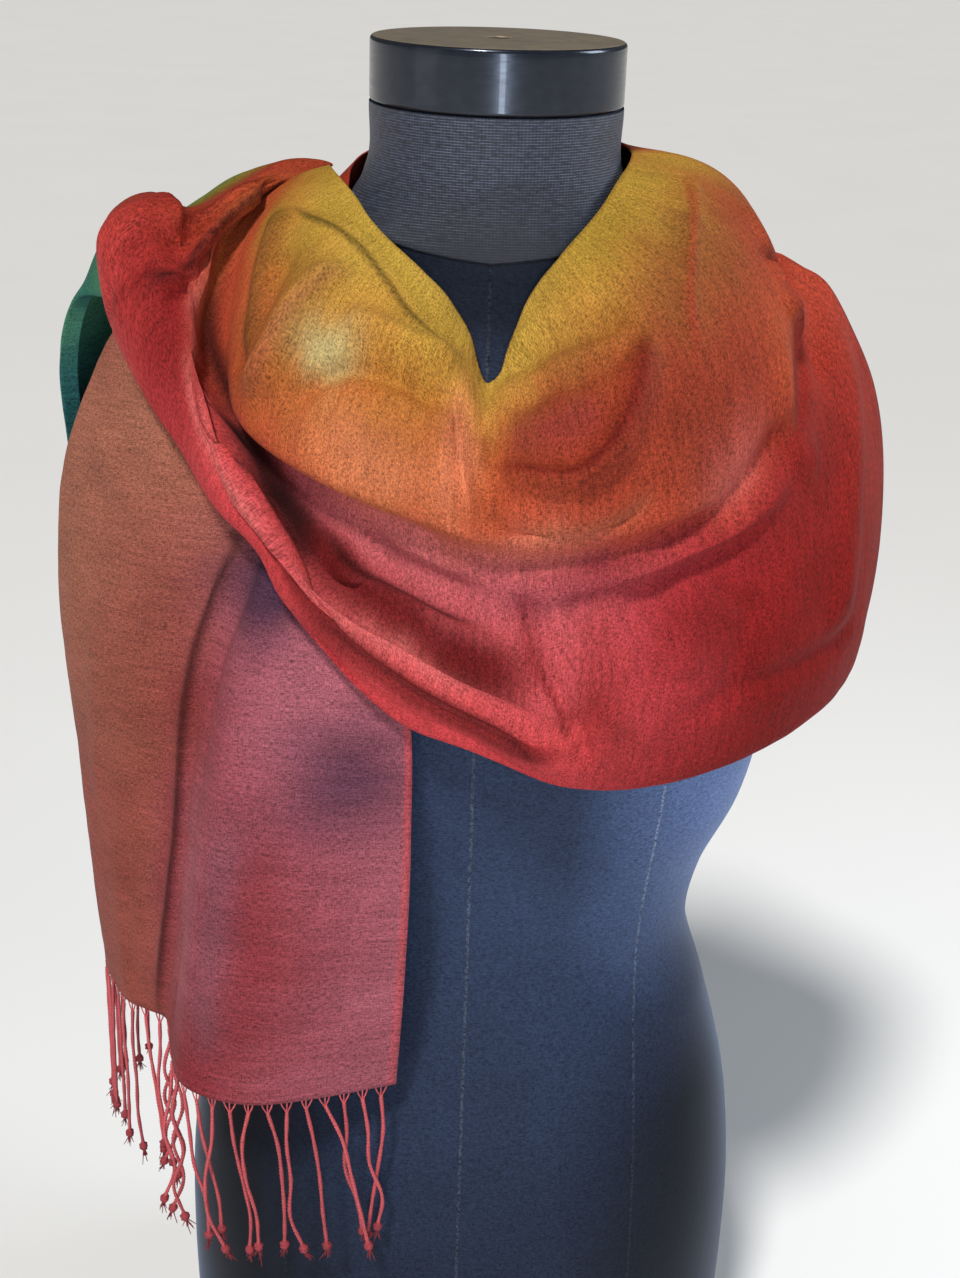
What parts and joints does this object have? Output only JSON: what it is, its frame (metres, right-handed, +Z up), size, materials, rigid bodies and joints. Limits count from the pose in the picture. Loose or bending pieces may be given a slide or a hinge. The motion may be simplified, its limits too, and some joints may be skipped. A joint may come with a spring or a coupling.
{
  "type": "shawl on a dress form",
  "caption": "Long fringed shawl wound once round a plain limbless dress form, its ends hanging down the front and the back.",
  "frame": {"origin": "centre of the dress form's flat underside, on the surface it stands on", "axes": "+Z up along the form's height, -Y towards the front of the wearer, +X towards the viewer's right (the form's left side)"},
  "size_m": [0.4386, 0.304, 0.8],
  "materials": {
    "form_fabric": "dark navy jersey drawn tight",
    "form_cap": "dark, glossy",
    "shawl_red": "woven, silky, with slubs, dyed in soft patches of olive, orange, mauve and red",
    "shawl_rust": "woven, silky, with slubs, orange-red",
    "shawl_maroon": "woven, silky, with slubs, maroon, mauve and brown",
    "shawl_green": "woven, silky, with slubs, dark green",
    "fringe_red": "twisted warp ends, frayed at their knots, pinkish red",
    "fringe_teal": "twisted warp ends, frayed at their knots, dark teal"
  },
  "bodies": {
    "root": {"form_torso": "form_fabric", "form_neck_cap": "form_cap", "front_tail": "shawl_maroon", "neck_wrap": "shawl_rust", "front_cowl": "shawl_red", "back_tail": "shawl_green", "front_fringe": "fringe_red", "back_fringe": "fringe_teal"}
  },
  "joints": []
}
